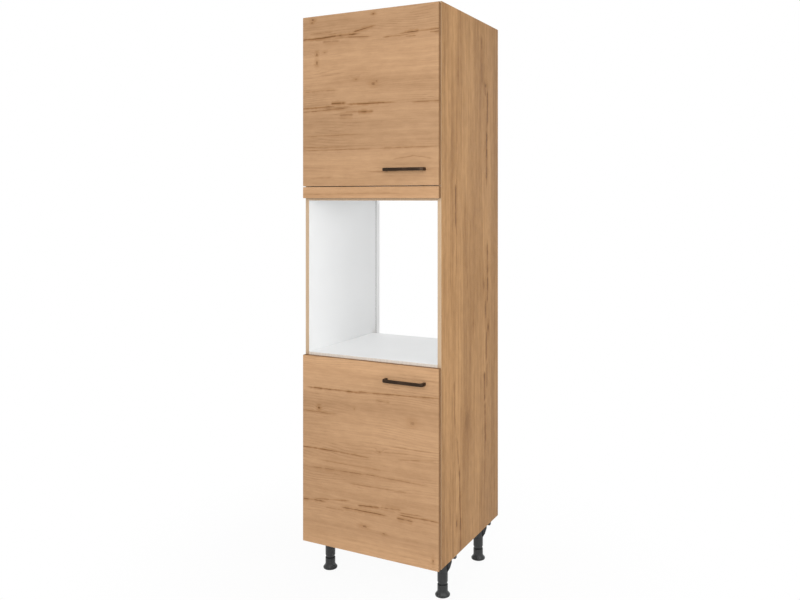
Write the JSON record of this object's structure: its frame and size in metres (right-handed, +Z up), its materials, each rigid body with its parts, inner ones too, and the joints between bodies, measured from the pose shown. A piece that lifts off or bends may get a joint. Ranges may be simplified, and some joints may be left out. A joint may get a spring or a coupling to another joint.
{
  "type": "tall oven housing unit",
  "caption": "Tall kitchen unit of oak-faced board on round levelling legs, with a hinged door below and above an open niche for a built-in oven.",
  "frame": {"origin": "on the floor, under the middle of the unit's overall width and depth with its handles", "axes": "+Z up, +X to the right and +Y to the rear as seen by someone in front of the doors, so the doors face -Y"},
  "size_m": [0.6, 0.611, 2.226],
  "materials": {
    "oak_door_board": "19 mm board faced with matt melamine in an oak decor, grain across",
    "oak_side_board": "16 mm board faced with matt melamine in an oak decor outside, grain upright, and white inside",
    "white_board": "16 mm board faced with fine-grained white melamine",
    "white_thin_board": "3 mm fibreboard, white lacquer",
    "dark_bronze_metal": "die-cast metal in a satin dark bronze",
    "nickel_steel": "nickel-plated steel",
    "zinc_steel": "zinc-plated steel sheet",
    "clear_plastic": "soft clear plastic",
    "leg_plastic": "dark grey moulded plastic",
    "leg_socket_plastic": "dark grey moulded plastic"
  },
  "bodies": {
    "carcass": {"side_panel_left": "oak_side_board", "side_panel_right": "oak_side_board", "bottom_panel": "white_board", "top_panel": "white_board", "niche_floor_shelf": "white_board", "niche_top_shelf": "white_board", "lower_back_panel": "white_thin_board", "upper_back_panel": "white_thin_board", "lower_adjustable_shelf": "white_board", "lower_shelf_pin_front_left": "nickel_steel", "lower_shelf_pin_rear_left": "nickel_steel", "lower_shelf_pin_front_right": "nickel_steel", "lower_shelf_pin_rear_right": "nickel_steel", "upper_adjustable_shelf": "white_board", "upper_shelf_pin_front_left": "nickel_steel", "upper_shelf_pin_rear_left": "nickel_steel", "upper_shelf_pin_front_right": "nickel_steel", "upper_shelf_pin_rear_right": "nickel_steel", "filler_strip": "oak_door_board", "filler_bracket_left": "zinc_steel", "wall_bracket_left": "zinc_steel", "filler_bracket_right": "zinc_steel", "wall_bracket_right": "zinc_steel", "lower_hinge_plate_bottom": "nickel_steel", "lower_hinge_arm_bottom": "nickel_steel", "lower_hinge_plate_top": "nickel_steel", "lower_hinge_arm_top": "nickel_steel", "upper_hinge_plate_bottom": "nickel_steel", "upper_hinge_arm_bottom": "nickel_steel", "upper_hinge_plate_top": "nickel_steel", "upper_hinge_arm_top": "nickel_steel", "leg_socket_front_left": "leg_socket_plastic", "leg_tube_front_left": "leg_plastic", "leg_socket_rear_left": "leg_socket_plastic", "leg_tube_rear_left": "leg_plastic", "leg_socket_front_right": "leg_socket_plastic", "leg_tube_front_right": "leg_plastic", "leg_socket_rear_right": "leg_socket_plastic", "leg_tube_rear_right": "leg_plastic"},
    "lower_door": {"lower_door": "oak_door_board", "lower_handle": "dark_bronze_metal", "lower_bumper_bottom": "clear_plastic", "lower_hinge_cup_bottom": "nickel_steel", "lower_bumper_top": "clear_plastic", "lower_hinge_cup_top": "nickel_steel"},
    "lower_links": {"lower_hinge_link_bottom": "nickel_steel", "lower_hinge_link_top": "nickel_steel"},
    "upper_door": {"upper_door": "oak_door_board", "upper_handle": "dark_bronze_metal", "upper_bumper_bottom": "clear_plastic", "upper_hinge_cup_bottom": "nickel_steel", "upper_bumper_top": "clear_plastic", "upper_hinge_cup_top": "nickel_steel"},
    "upper_links": {"upper_hinge_link_bottom": "nickel_steel", "upper_hinge_link_top": "nickel_steel"},
    "foot_front_left": {"leg_foot_front_left": "leg_plastic"},
    "foot_rear_left": {"leg_foot_rear_left": "leg_plastic"},
    "foot_front_right": {"leg_foot_front_right": "leg_plastic"},
    "foot_rear_right": {"leg_foot_rear_right": "leg_plastic"}
  },
  "joints": [
    {"name": "lower_door_swing", "type": "hinge", "parent": "carcass", "child": "lower_door", "pos_m": [-0.293, -0.2685, 0.518], "axis": [0, 0, -1], "range_deg": [0, 95]},
    {"name": "lower_link_turn", "type": "hinge", "parent": "lower_door", "child": "lower_links", "pos_m": [-0.2655, -0.2621, 0.518], "axis": [0, 0, -1], "range_deg": [-55.5, 0]},
    {"name": "upper_door_swing", "type": "hinge", "parent": "carcass", "child": "upper_door", "pos_m": [-0.293, -0.2685, 1.8865], "axis": [0, 0, -1], "range_deg": [0, 95]},
    {"name": "upper_link_turn", "type": "hinge", "parent": "upper_door", "child": "upper_links", "pos_m": [-0.2655, -0.2621, 1.8865], "axis": [0, 0, -1], "range_deg": [-55.5, 0]},
    {"name": "foot_front_left_height", "type": "slide", "parent": "carcass", "child": "foot_front_left", "axis": [0, 0, -1], "range_m": [-0.003, 0.025]},
    {"name": "foot_front_right_height", "type": "slide", "parent": "carcass", "child": "foot_front_right", "axis": [0, 0, -1], "range_m": [-0.003, 0.025]},
    {"name": "foot_rear_left_height", "type": "slide", "parent": "carcass", "child": "foot_rear_left", "axis": [0, 0, -1], "range_m": [-0.003, 0.025]},
    {"name": "foot_rear_right_height", "type": "slide", "parent": "carcass", "child": "foot_rear_right", "axis": [0, 0, -1], "range_m": [-0.003, 0.025]}
  ],
  "couplings": [
    {"joint": "lower_link_turn", "follows": "lower_door_swing", "ratio": -0.5838},
    {"joint": "upper_link_turn", "follows": "upper_door_swing", "ratio": -0.5838}
  ]
}
